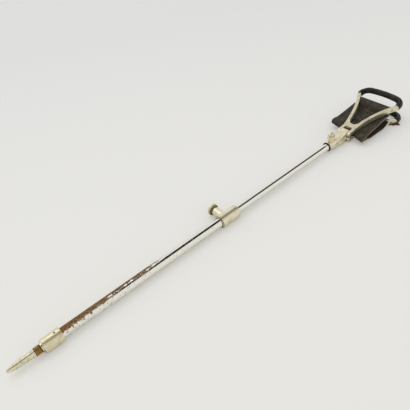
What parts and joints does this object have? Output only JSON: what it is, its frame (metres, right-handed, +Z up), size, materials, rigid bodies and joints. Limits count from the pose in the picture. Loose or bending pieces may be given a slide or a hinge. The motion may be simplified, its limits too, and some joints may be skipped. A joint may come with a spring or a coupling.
{
  "type": "walking stick seat",
  "caption": "Adjustable shooting stick: a spiked telescopic shaft with a locking plunger and two hinged handle frames that open to a leather sling seat.",
  "frame": {"origin": "middle of the stick's length and width, on the surface it lies on", "axes": "+X from the spike towards the handles, +Y to the side of the plunger knob, +Z up through the head button"},
  "size_m": [1.0039, 0.1158, 0.0555],
  "materials": {
    "spike_steel": "worn turned steel, brownish at the thread",
    "bright_steel": "bright turned steel",
    "dark_steel": "dull dark steel",
    "spring_steel": "drawn wire",
    "knob_steel": "dark olive, worn bright on its rim",
    "tube_chrome": "chrome plate, rusted through on the lower third",
    "cast_alloy": "dull cast light alloy, slightly yellow",
    "bush_brass": "plain brass",
    "grip_leather": "dark stitched leather wrapping",
    "sling_leather": "thick weathered dark leather, brown on its flesh side",
    "tail_leather": "frayed brown leather"
  },
  "bodies": {
    "lower_shaft": {"spike": "spike_steel", "shoulder_ring": "bright_steel", "ferrule": "cast_alloy", "ferrule_pin": "dark_steel", "lower_tube": "tube_chrome", "collar": "cast_alloy", "collar_rivets": "dark_steel", "guide_bush": "bush_brass", "boss_bush": "bright_steel"},
    "plunger": {"plunger_pin": "bright_steel", "plunger_spring": "spring_steel", "plunger_knob": "knob_steel"},
    "upper_shaft": {"upper_tube": "tube_chrome", "tube_foot": "bush_brass", "head": "cast_alloy", "head_pin": "dark_steel", "hinge_pin_upper": "bright_steel", "hinge_pin_lower": "bright_steel", "button_nut": "cast_alloy"},
    "head_button": {"button_cap": "cast_alloy", "button_stem": "bright_steel", "button_spring": "spring_steel"},
    "upper_frame": {"upper_frame": "cast_alloy", "upper_grip": "grip_leather", "upper_seat_bar": "bright_steel", "upper_sling": "sling_leather"},
    "lower_frame": {"lower_frame": "cast_alloy", "lower_grip": "grip_leather", "lower_seat_bar": "bright_steel", "lower_sling": "sling_leather", "grip_tail": "tail_leather"}
  },
  "joints": [
    {"name": "shaft_slide", "type": "slide", "parent": "lower_shaft", "child": "upper_shaft", "axis": [1, 0, 0], "range_m": [-0.275, 0]},
    {"name": "plunger_pull", "type": "slide", "parent": "lower_shaft", "child": "plunger", "axis": [0, 1, 0], "range_m": [-0.0035, 0.001], "deforming": ["plunger_spring"]},
    {"name": "button_press", "type": "slide", "parent": "upper_shaft", "child": "head_button", "axis": [0, 0, -1], "range_m": [0, 0.0025], "stiffness_N_per_m": 600, "springref_m": -0.002, "deforming": ["button_spring"]},
    {"name": "upper_hinge", "type": "hinge", "parent": "upper_shaft", "child": "upper_frame", "pos_m": [0.34005, 0, 0.0187], "axis": [0, -1, 0], "range_deg": [-5.5, 58]},
    {"name": "lower_hinge", "type": "hinge", "parent": "upper_shaft", "child": "lower_frame", "pos_m": [0.34005, 0, 0.0067], "axis": [0, 1, 0], "range_deg": [0, 70]}
  ]
}
